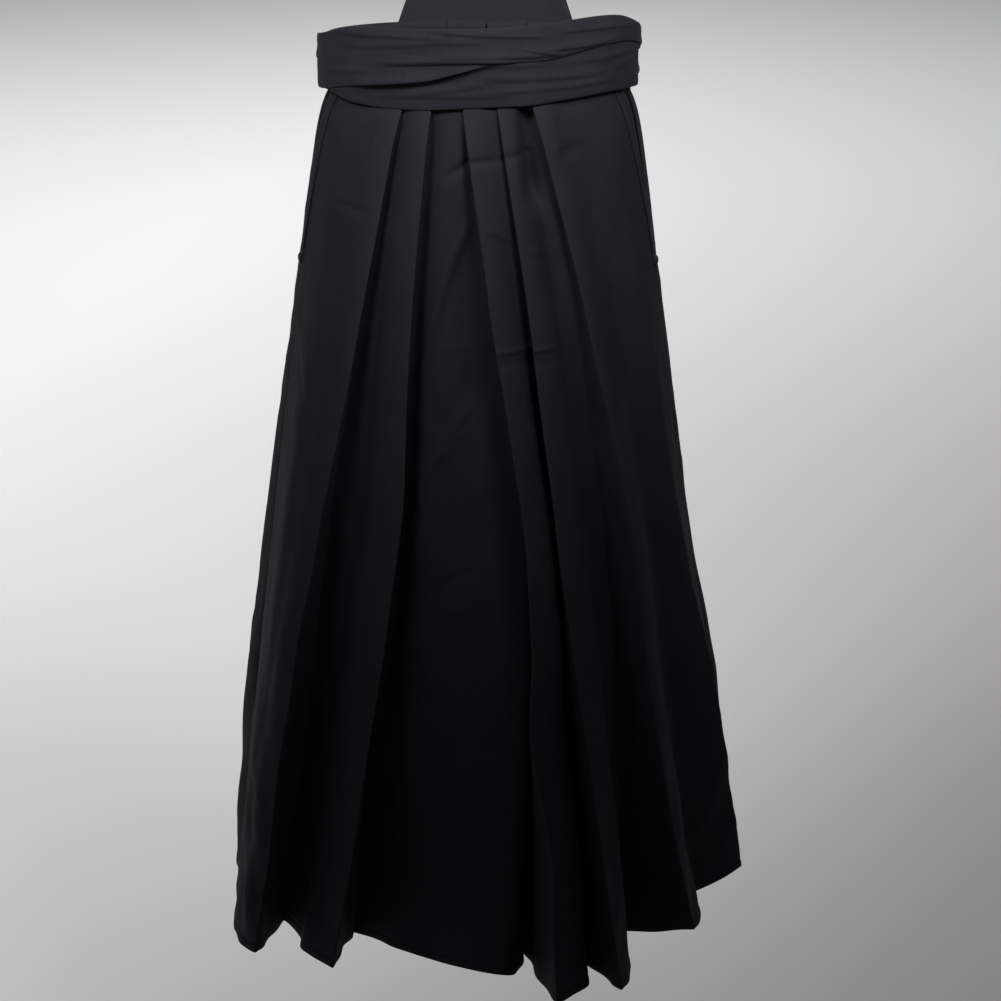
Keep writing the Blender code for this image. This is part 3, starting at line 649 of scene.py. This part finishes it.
def panelSurface(name, look, relief, t, edges):
    # the spline through each row's guide points, then dented and creased
    folds = [foldAt(*row) for row in look["folds"]]
    path = [look["centre"]] + folds + [look["seam"]]
    isBack = look["centre"] is centreBack
    if isBack:
        path[0] = path[0]._replace(waistDeg=math.copysign(180.0, look["slitDeg"]))
    path[-1] = path[-1]._replace(waistDeg=look["slitDeg"], kind="edge" if isBack else "slit")
    lines = [edges[0]] + [foldLine(fold, t) for fold in folds] + [edges[1]]
    controls, owners = sectionControls(path, lines, look["side"], t, look.get("bulges", {}))
    places = columnPlaces(controls, look["columns"], relief["turnLength"])
    weights = splineWeights(controls.shape[1], places)
    surface = np.einsum("cn,rnk->rck", weights, controls)

    normals = outwardNormals(surface, look["side"])
    across, fall = gridLengths(surface, 1), gridLengths(surface, 0)
    # relief starts below the ties, where the layers have room, and dies out at pressed folds
    pressedFolds = [i for i, fold in enumerate(path) if fold.kind in ("ridge", "valley")]
    foldColumns = [int(np.argmax(weights[:, owners == i - 0.5].sum(axis=1))) for i in pressedFolds]
    room = smoothStep(foldDistance(across, foldColumns) / relief["nearFold"])
    edgeRoom = smoothStep(np.minimum(across, across[:, -1:] - across) / relief["nearEdge"])
    below = np.clip(t, 0.0, None)[:, None]
    free = smoothStep(below / relief["fullFrom"]) * room * edgeRoom
    seed = look["seed"]
    rough = smoothStep(0.5 + 0.7 * softWaves(across, fall, relief["calm"], seed + 4))
    amount = free * (relief["crumple"] * rough * softWaves(across, fall, relief["crumpleSize"], seed)
                     + relief["fine"] * rough * softWaves(across, fall, relief["fineSize"], seed + 1)
                     + relief["hang"] * below**1.4
                     * softWaves(across, fall, relief["hangSize"], seed + 2, relief["hangStretch"]))
    fromHem = (1.0 - t)[:, None] * cut["length"]
    amount = amount + relief["hemStep"] * smoothStep((relief["hemWidth"] - fromHem) / 0.001)
    trough = np.exp(-((fromHem - relief["hemWidth"]) / relief["hemPull"]) ** 2)
    amount = amount - relief["hemTrough"] * trough * edgeRoom
    out = np.zeros(surface.shape[:2])
    for face, *crease in look["creases"]:
        share = 1.0 if face is None else weights[:, owners == face].sum(axis=1)[None, :]
        out += share * creaseRelief(surface[..., 0], surface[..., 2], [crease])
    for ridge, face, depth, width, end in look["grooves"]:
        share = weights[:, owners == face].sum(axis=1)[None, :]
        line = lines[ridge] if ridge else foldLine(foldAt(*panels["front_left"]["folds"][0]), t)
        way = look["grooveWay"] if ridge else -1
        out -= depth / 1000.0 * share * grooveBell(surface, line, way, width / 1000.0, end, t)
    out *= smoothStep(below / relief["creasesFrom"]) * edgeRoom
    surface = surface + normals * amount[..., None] + bodyWay(surface) * out[..., None]
    dip = relief["hemDip"] * softWaves(across, 0.0 * fall, relief["dipSize"], seed + 3)
    surface[..., 2] += dip * smoothStep((below - relief["dipFrom"]) / (1.0 - relief["dipFrom"])) * edgeRoom

    # the weight of the pressed ridges, which the material paints lighter: partly rubbing, partly a painted
    # sheen
    ridges = [i for i, fold in enumerate(path) if fold.kind == "ridge"]
    pressed = sum((weights[:, owners == i - 0.5].sum(axis=1) for i in ridges), np.zeros(len(places)))
    return {
        "surface": surface, "normals": outwardNormals(surface, look["side"]), "side": look["side"],
        "across": across, "fall": fall, "pressed": np.broadcast_to(pressed, across.shape),
        "places": places, "guides": controls.shape[1], "t": t,
    }


def addPanel(name, made):
    uv = np.stack([made["across"], -made["fall"]], axis=-1)
    piece = addSheet(name, made["surface"], cottonTwill, name + "_panel", cut["wall"],
                     uv, made["side"] > 0)
    attribute = piece.data.attributes.new("pressed", "FLOAT", "POINT")
    attribute.data.foreach_set("value", made["pressed"].astype(np.float32).ravel())


shares = rowShares()
centreEdges = {}
for side in (-1, 1):
    centreEdges["front", side] = innerEdge(centreFront, side, cut["spreadFront"], shares)
    centreEdges["back", side] = innerEdge(centreBack, side, cut["spreadBack"], shares)
centreEdges["front", 1][:, 1] -= np.where(shares <= cut["crotch"], cut["lap"], 0.0)

cloth = {}
for name, look in panels.items():
    isLeft = name.endswith("left")
    inner = centreEdges[name.split("_")[0], 1 if isLeft else -1]
    outer = slitEdge(look["seam"], look["slitDeg"], shares)
    cloth[name] = panelSurface(name, look, clothRelief, shares, (inner, outer))
    addPanel(name, cloth[name])
print("panels made")


# The seam allowances, pressed open along the side seams and the centre back: they close the seams
seamLook = {
    "columns": 3, "lift": 0.0011, "wall": 0.0008, "centreFrom": 0.006,
    "side": {"flat": (0.018, 0.76), "held": "hung"}, "centre": {"flat": (0.012, 0.47), "held": "hung"},
}


def addSeamAllowance(name, first, second, kind, look):
    # the two panels' last columns beside the seam, moved inwards by one lap of cloth
    take = look["columns"]
    pick = slice(-take, None) if kind == "side" else slice(take - 1, None, -1)
    halves = [(made["surface"] - made["normals"] * look["lift"])[:, pick] for made in (first, second)]
    rows = shares > (cut["slitEnd"] if kind == "side" else look["centreFrom"])
    if kind == "centre":
        rows &= shares < cut["crotch"]
    strip = np.concatenate([halves[0], halves[1][:, ::-1]], axis=1)[rows]
    addSheet(name, strip, cottonTwill, None, look["wall"], flip=first["side"] > 0)


for leg in ("right", "left"):
    addSeamAllowance("side_seam_" + leg, cloth["front_" + leg], cloth["back_" + leg], "side", seamLook)
addSeamAllowance("centre_back_seam", cloth["back_right"], cloth["back_left"], "centre", seamLook)
print("seam allowances made")


# The inside of each leg, from the crotch to the hem
gussetLook = {
    "columns": 40, "belly": 0.010, "folds": 0.0045, "foldSize": 0.085, "foldStretch": 7.0, "gap": 0.0006,
    "cutting": {"flat": (0.34, 0.48), "held": "hung", "area": 0.14},
}


def addGusset(leg, side, look):
    # a straight run from the front edge to the back edge, bowed into the leg by a half sine,
    # with long hanging waves that grow to the hem
    low = shares >= cut["crotch"]
    start = centreEdges["front", side][low] + [0.0, look["gap"], 0.0]
    end = centreEdges["back", side][low] - [0.0, look["gap"], 0.0]
    f = np.linspace(0.0, 1.0, look["columns"])[None, :]
    grid = start[:, None, :] + (end - start)[:, None, :] * f[..., None]
    down = ((shares[low] - cut["crotch"]) / (1.0 - cut["crotch"]))[:, None]
    across, fall = gridLengths(grid, 1), gridLengths(grid, 0)
    waves = 0.7 + softWaves(across, fall, look["foldSize"], 60 + side, look["foldStretch"])
    grid[..., 0] += side * np.sin(math.pi * f) * down * (look["belly"] + look["folds"] * waves * down)
    addSheet("gusset_" + leg, grid, cottonTwill, "gusset_" + leg, cut["wall"],
             np.stack([across, -fall], axis=-1), side > 0)


for leg, side in (("right", -1), ("left", 1)):
    addGusset(leg, side, gussetLook)
print("gussets made")


# Sewing thread: stitches as short spindles laid along a line on the cloth
threadSizes = {"radius": 0.00032, "stitch": 0.0030, "pitch": 0.0044, "sides": 5, "rings": 5}


def addStitches(name, lines, sizes):
    # a spindle's radius and its rise above the cloth follow a half sine from end to end
    starts, ends, aways = [], [], []
    for points, away in lines:
        run = np.concatenate([[0.0], np.cumsum(np.linalg.norm(np.diff(points, axis=0), axis=1))])
        at = np.arange(sizes["pitch"] / 2, run[-1] - sizes["stitch"], sizes["pitch"])
        for kept, values, place in ((starts, points, at), (ends, points, at + sizes["stitch"]),
                                    (aways, away, at + sizes["stitch"] / 2)):
            kept.append(np.stack([np.interp(place, run, values[:, k]) for k in range(3)], axis=1))
    start, end, away = (np.concatenate(part) for part in (starts, ends, aways))
    along = unit(end - start)
    away = unit(away - along * (away * along).sum(axis=1, keepdims=True))
    aside = np.cross(along, away)
    f = np.linspace(0.0, 1.0, sizes["rings"])
    swell = np.sin(math.pi * f)
    angle = np.linspace(0.0, 2 * math.pi, sizes["sides"], endpoint=False)
    middle = start[:, None, :] + (end - start)[:, None, :] * f[:, None]
    middle = middle + away[:, None, :] * (sizes["radius"] * (1.4 * swell - 0.8))[:, None]
    radius = sizes["radius"] * (0.35 + 0.65 * swell)
    ring = away[:, None, None, :] * np.cos(angle)[:, None] + aside[:, None, None, :] * np.sin(angle)[:, None]
    verts = middle[:, :, None, :] + ring * radius[:, None, None]
    count, rings, sides = verts.shape[:3]
    index = np.arange(count * rings * sides).reshape(count, rings, sides)
    around = np.roll(index, -1, axis=2)
    quads = np.stack([index[:, :-1], around[:, :-1], around[:, 1:], index[:, 1:]], axis=-1).reshape(-1, 4)
    caps = np.concatenate([index[:, 0, ::-1], index[:, -1]])
    mesh = bpy.data.meshes.new(name)
    mesh.from_pydata(verts.reshape(-1, 3).tolist(), [], quads.tolist() + caps.tolist())
    mesh.shade_smooth()
    addPiece(name, mesh, sewingThread)


hemRow = int(np.argmin(np.abs((1.0 - shares) * cut["length"] - clothRelief["hemWidth"])))
for name, made in cloth.items():
    away = made["normals"][hemRow]
    line = made["surface"][hemRow] + away * cut["wall"] / 2
    addStitches("hem_stitches_" + name, [(line, away)], threadSizes)
print("hem stitches made")


# The strip folded back along the front edge of each side slit
facingLook = {
    "lift": 0.0015, "guides": 4.5,
    "right": {"flat": (0.024, 0.20), "held": "hung", "area": 0.0023},
    "left": {"flat": (0.024, 0.20), "held": "hung", "area": 0.0018},
}


def addFacing(leg, made, look):
    # the panel's own points beside the slit, moved out by one lap of cloth
    rows = (made["t"] >= 0.0) & (made["t"] < cut["facingEnd"])
    columns = made["places"] >= made["guides"] - look["guides"]
    normals = made["normals"][:, columns][rows]
    strip = made["surface"][:, columns][rows] + normals * look["lift"]
    addSheet("slit_facing_" + leg, strip, cottonTwill, "slit_facing_" + leg, cut["wall"],
             flip=made["side"] > 0)
    seamLine = strip[:, 1] + normals[:, 1] * cut["wall"] / 2
    addStitches("facing_stitches_" + leg, [(seamLine, normals[:, 1])], threadSizes)


for leg in ("right", "left"):
    addFacing(leg, cloth["front_" + leg], facingLook)

knotLook = {"radius": 0.0034, "half": 0.0058, "turns": 9, "groove": 0.10, "gap": -0.0012,
            "rings": 64, "sides": 33, "thread": (0.004, 0.007)}


def addKnot(leg, seam, side, look):
    # a long ball whose radius is grooved once for each turn of the thread wound round it
    place = foldLine(seam, np.array([cut["slitEnd"]]))[0] + [side * (look["radius"] + look["gap"]), 0.0, 0.0]
    height = -np.cos(np.linspace(0.0, math.pi, look["rings"]))[:, None]
    angle = np.linspace(0.0, 2 * math.pi, look["sides"])[None, :]
    winding = np.abs(np.sin(look["turns"] * math.pi / 2 * height + angle / 2))
    radius = look["radius"] * np.sqrt(np.clip(1 - height**2, 0, 1)) * (1 - look["groove"] * (1 - winding))
    points = np.stack([place[0] + radius * np.cos(angle), place[1] + radius * np.sin(angle),
                       place[2] + look["half"] * height + 0 * angle], axis=-1)
    around, along = look["thread"]
    uv = np.stack([angle * around + 0 * height, height * along + 0 * angle], axis=-1)
    mesh = gridMesh("slit_knot_" + leg, points, uv)
    addPiece("thread_slit_knot_" + leg, mesh, sewingThread, "slit_knot_" + leg)


addKnot("right", sideRight, -1, knotLook)
addKnot("left", sideLeft, 1, knotLook)
print("slits made")


boardLook = {"halfBottomDeg": 43.0, "halfTopDeg": 29.0, "low": -0.044, "high": 0.058, "wall": 0.0056,
             "out": 0.0084, "columns": 60, "rows": 26, "swell": 0.0004, "edge": 0.0016, "border": 0.006,
             "tieGapDeg": 0.2, "edgeSegments": 3, "edgeDeg": 50.0}

# The back ties, wound over the front: two stretches that show, each a wide tie in loose folds. A
# reach is a place in degrees and the tie's two edges there in millimetres. A fold is a crease whose
# ends are placed in degrees.
ties = {
    "tie_under_wrap": {
        "out": 0.0083, "wall": 0.0014, "columns": 290, "rows": 36, "seed": 71,
        "cutting": {"flat": (0.066, 0.68), "held": "folded"},
        "reaches": [
            (-137, -43, 0), (-90, -43, 4), (-70, -41, 8), (-51, -49, 12), (-22, -53, 16), (4, -49, 18),
            (22, -47, 21), (37, -42, 24), (55, -38, 24), (75, -37, 18), (95, -39, 10), (137, -41, -1),
        ],
        "folds": [
            (-40, -41, 16, -37, 5, 1.4, 1.6, 1), (-26, -37, 8, -23, 6, 1.6, 2.2, -2),
            (0, -19, 58, -15, 6, 1.4, 2, -2), (-2, -6, 30, -4, 5, 1.2, 2.2, 0),
            (0, -34, 62, -24, 5, 1.3, 1.8, -1), (34, -4, 100, 4, 6, 1.4, 1.8, 1),
            (58, -12, 90, -6, 5, 1.4, 1.5, 1), (-100, -32, -48, -40, 6, 1.6, 1.4, 1),
            (70, -26, 128, -22, 6, 1.6, 1.5, 1),
        ],
    },
    "tie_over_wrap": {
        "out": 0.0113, "wall": 0.0014, "columns": 290, "rows": 36, "seed": 83,
        "cutting": {"flat": (0.052, 0.70), "held": "folded"},
        "reaches": [
            (-137, -42, -2), (-90, -42, 14), (-70, -40, 20), (-50, -32, 31), (-30, -26, 33), (-14, -20, 33),
            (-4, -12, 34), (8, -3, 35), (28, 1, 39), (46, 11, 44), (62, 15, 43), (78, 12, 33), (92, 2, 24),
            (137, -30, 4),
        ],
        "folds": [
            # the lip above the one deep crease
            (-50, -30, 13, -4, 6, 6, 5.8, -4), (-38, -7, 18, -1, 5, 1.3, 4.2, 3),
            (-16, 5, 32, 6, 6, 1.3, 2.2, -1), (-72, -22, -36, -15, 5, 1.3, 1.6, 1),
            (-52, 10, -16, 16, 5, 1.3, 1.8, 0), (-26, 16, 4, 19, 5, 1.3, 1.6, 1),
            (-58, 23, -8, 23, 4, 1.2, 2, 1), (-16, 31, 30, 25, 4, 1.2, 1.6, -1),
            (18, 13, 34, 5, 4, 1.3, 2.2, 0), (26, 11, 60, 19, 6, 1.3, 2, -1),
            (30, 29, 76, 30, 5, 1.3, 1.5, 2), (-132, -16, -70, -8, 7, 1.6, 1.5, 1),
            (86, 8, 134, -10, 6, 1.6, 1.4, 1),
        ],
    },
}
tieEdge = {"curl": 0.0009, "reach": 0.0018, "crumple": 0.0006, "crumpleSize": 0.05, "crumpleStretch": 0.5,
           "levelDeg": 122.0, "endDeg": 137.0}


def besideBoard(deg, z):
    # the ties' ends follow the slanted sides of the board
    share = (boardLook["high"] - z) / (boardLook["high"] - boardLook["low"])
    half = boardLook["halfTopDeg"] + (boardLook["halfBottomDeg"] - boardLook["halfTopDeg"]) * share
    near = np.clip((np.abs(deg) - tieEdge["levelDeg"]) / (tieEdge["endDeg"] - tieEdge["levelDeg"]), 0.0, 1.0)
    return deg + np.sign(deg) * (180.0 - half - boardLook["tieGapDeg"] - tieEdge["endDeg"]) * near


def tieSurface(look):
    # heights run evenly between the two edges; the distance out is a base, plus fold lips, plus
    # soft dents, less a curl towards both edges
    stations, lows, highs = np.array(look["reaches"], float).T
    deg = np.linspace(stations[0], stations[-1], look["columns"])
    low = smoothThrough(deg, stations, lows / 1000.0)
    high = smoothThrough(deg, stations, highs / 1000.0)
    h = 0.5 - 0.5 * np.cos(np.linspace(0.0, math.pi, look["rows"]))[:, None]
    h = 0.5 * h + 0.5 * np.linspace(0.0, 1.0, look["rows"])[:, None]
    z = high + (low - high) * h
    perDegree = math.radians(1.0) * 0.5 * (cut["halfWidth"] + cut["halfDepth"])
    turned = 1000.0 * perDegree
    folds = [(x0 * turned, z0, x1 * turned, *rest) for x0, z0, x1, *rest in look["folds"]]
    along = deg * perDegree + 0.0 * z
    dents = softWaves(along, z, tieEdge["crumpleSize"], look["seed"], tieEdge["crumpleStretch"])
    out = look["out"] + creaseRelief(along, z, folds) + tieEdge["crumple"] * (0.5 + 0.5 * dents)
    toEdge = np.minimum(high - z, z - low)
    out = out - tieEdge["curl"] * np.exp(-toEdge / tieEdge["reach"])
    place, _ = waistPoint(besideBoard(deg + 0.0 * z, z), out)
    return np.concatenate([place, z[..., None]], axis=-1)


# the ties take the cotton that is painted paler, partly as painted light
for name, look in ties.items():
    addSheet(name, tieSurface(look), tieCottonHandledAndLit, name, look["wall"])
print("back ties made")


# The front waistband, and the front tie that runs on from it inside the back panels
bandLook = {
    "out": 0.0061, "inner": -0.0022, "low": -0.042, "high": -0.006, "wall": 0.0018, "rows": 18,
    "halfDeg": 73.0, "joinDeg": 0.3, "turnFrom": 74.0, "turnTo": 79.0,
    "raise": 0.008, "raiseFrom": 15.0, "raiseTo": 150.0, "raiseOver": 40.0,
    "ripple": 0.0003, "rippleSize": 0.06, "rippleStretch": 0.4, "seed": 91,
    "front_waistband": {"columns": 130, "cutting": {"flat": (0.036, 0.37), "held": "folded"}},
    "front_tie": {"columns": 230, "cutting": {"flat": (0.036, 0.50), "held": "folded"}},
}


def bandSurface(look, fromDeg, toDeg, columns):
    # a level band whose distance out steps smoothly inwards where it passes through the slits
    deg = np.linspace(fromDeg, toDeg, columns)[None, :]
    # its lower edge is raised on the wearer's left
    raised = smoothStep((deg - look["raiseFrom"]) / look["raiseOver"])
    low = look["low"] + look["raise"] * raised * smoothStep((look["raiseTo"] - deg) / look["raiseOver"])
    z = look["high"] + (low - look["high"]) * np.linspace(0.0, 1.0, look["rows"])[:, None]
    near = np.minimum(deg, 360.0 - deg)
    gone = smoothStep((near - look["turnFrom"]) / (look["turnTo"] - look["turnFrom"]))
    out = look["out"] + (look["inner"] - look["out"]) * gone
    along = np.radians(deg) * cut["halfWidth"]
    out = out + look["ripple"] * softWaves(along, z, look["rippleSize"], look["seed"], look["rippleStretch"])
    place, _ = waistPoint(deg + 0.0 * z, out)
    return np.concatenate([place, z[..., None]], axis=-1)


# the waistband and front tie take the cotton that is painted paler, partly as painted light
bandEnd = bandLook["halfDeg"]
tieStart = bandEnd + bandLook["joinDeg"]
for name, fromDeg, toDeg in (("front_waistband", -bandEnd, bandEnd),
                             ("front_tie", tieStart, 360.0 - tieStart)):
    band = bandLook[name]
    grid = bandSurface(bandLook, fromDeg, toDeg, band["columns"])
    addSheet(name, grid, tieCottonHandledAndLit, name, bandLook["wall"])
print("waistband and front tie made")


# The stiff board at the back of the waist, covered in the same cotton

def boardSurface(look):
    # a trapezium on the waist's curve, narrower at the top, with a slight swell in its middle
    h = np.linspace(0.0, 1.0, look["rows"])[:, None]
    f = np.linspace(-1.0, 1.0, look["columns"])[None, :]
    half = look["halfTopDeg"] + (look["halfBottomDeg"] - look["halfTopDeg"]) * h
    swell = look["swell"] * (1.0 - f**2) * np.sin(math.pi * h)
    place, way = waistPoint(180.0 + half * f, look["out"] + swell)
    z = look["high"] + (look["low"] - look["high"]) * h + 0.0 * f
    way = np.concatenate([way, np.zeros(z.shape + (1,))], axis=-1)
    return np.concatenate([place, z[..., None]], axis=-1), way


def addBoard(look):
    grid, way = boardSurface(look)
    across, fall = gridLengths(grid, 1), gridLengths(grid, 0)
    mesh = gridMesh("back_board", grid, np.stack([across, -fall], axis=-1))
    piece = addPiece("cloth_back_board", mesh, boardCotton, "back_board")
    addWall(piece, look["wall"])
    edge = piece.modifiers.new("edge", "BEVEL")
    edge.width = look["edge"]
    edge.segments = look["edgeSegments"]
    edge.limit_method = "ANGLE"
    edge.angle_limit = math.radians(look["edgeDeg"])
    # a row of stitches along each side of the border, on the outside
    lines = []
    step = (look["high"] - look["low"]) / (look["rows"] - 1)
    margin = int(round(look["border"] / step))
    outer = grid + way * look["wall"] / 2
    for row in (margin, -1 - margin):
        lines.append((outer[row, margin:-margin], way[row, margin:-margin]))
    for column in (margin + 1, -2 - margin):
        lines.append((outer[margin:-margin, column], way[margin:-margin, column]))
    addStitches("board_stitches", lines, threadSizes)


addBoard(boardLook)
print("back board made")


# The studio: a wide pale floor painted with a falloff of light and shade, two soft key lights above the
# front, a lamp over the floor behind and weak light all round
studio = {
    # the floor's two colours are the ends of a painted falloff of light and shade
    "floorDrop": 0.30, "floorSize": 40.0, "floorDark": "#7c7a7b", "floorLight": "#e2e2e2",
    "floorRoughness": 0.9, "floorBase": 0.42, "floorBack": 0.050, "floorSide": -2.0, "floorNear": 3.5,
    "worldColour": "#dcdcdc", "worldStrength": 0.15,
}
lampRow = namedtuple("lampRow", "place aim size watts spreadDeg")
lamps = {
    "keyRight": lampRow((0.66, -1.0, 0.82), (0.17, 0.0, 0.19), 0.6, 3.1, 53),
    "keyLeft": lampRow((-0.58, -1.0, 0.82), (-0.16, 0.0, 0.19), 0.6, 2.7, 53),
    "backdrop": lampRow((0.0, 5.5, 9.0), (0.0, 5.5, -1.3), 4.0, 750.0, 140),
}


def addFloor(look, lowest):
    half = look["floorSize"] / 2
    corners = [(-half, -half), (half, -half), (half, half), (-half, half)]
    mesh = bpy.data.meshes.new("floor")
    mesh.from_pydata([(x, y, lowest - look["floorDrop"]) for x, y in corners], [], [(0, 1, 2, 3)])
    floor = bpy.data.objects.new("floor", mesh)
    bpy.context.scene.collection.objects.link(floor)
    material = bpy.data.materials.new("studio_floor_painted_falloff")
    material.use_nodes = True
    tree = material.node_tree
    shader = tree.nodes["Principled BSDF"].inputs
    # a painted falloff of light and shade: the floor is painted lighter to the back and, as the camera sees
    # it, to the left
    place = addNode(tree, "SeparateXYZ", {0: addNode(tree, "TexCoord")["Object"]})
    far = addNode(tree, "Math", {0: place[1], 1: look["floorNear"]}, operation="ADD")
    aside = addNode(tree, "Math", {0: place[0], 1: far[0]}, operation="DIVIDE")
    back = addNode(tree, "Math", {0: place[1], 1: look["floorBack"], 2: look["floorBase"]},
                   operation="MULTIPLY_ADD")
    share = addNode(tree, "Math", {0: aside[0], 1: look["floorSide"], 2: back[0]}, operation="MULTIPLY_ADD")
    dark, light = toLinear(look["floorDark"]), toLinear(look["floorLight"])
    paintedFalloff = addNode(tree, "Mix", {0: share[0], 6: dark, 7: light}, data_type="RGBA")
    tree.links.new(paintedFalloff[2], shader["Base Color"])
    shader["Roughness"].default_value = look["floorRoughness"]
    mesh.materials.append(material)


def addLamp(name, row):
    data = bpy.data.lights.new(name, "AREA")
    data.shape = "DISK"
    data.size = row.size
    data.energy = row.watts
    data.spread = math.radians(row.spreadDeg)
    lamp = bpy.data.objects.new(name, data)
    bpy.context.scene.collection.objects.link(lamp)
    lamp.location = row.place
    lamp.rotation_euler = (Vector(row.aim) - Vector(row.place)).to_track_quat("-Z", "Y").to_euler()


addFloor(studio, cadBox[0][2])
for name, row in lamps.items():
    addLamp(name, row)
world = bpy.data.worlds.new("studio")
bpy.context.scene.world = world
world.use_nodes = True
world.node_tree.nodes["Background"].inputs["Color"].default_value = toLinear(studio["worldColour"])
world.node_tree.nodes["Background"].inputs["Strength"].default_value = studio["worldStrength"]
bpy.context.scene.view_settings.view_transform = "Standard"
print("studio made")
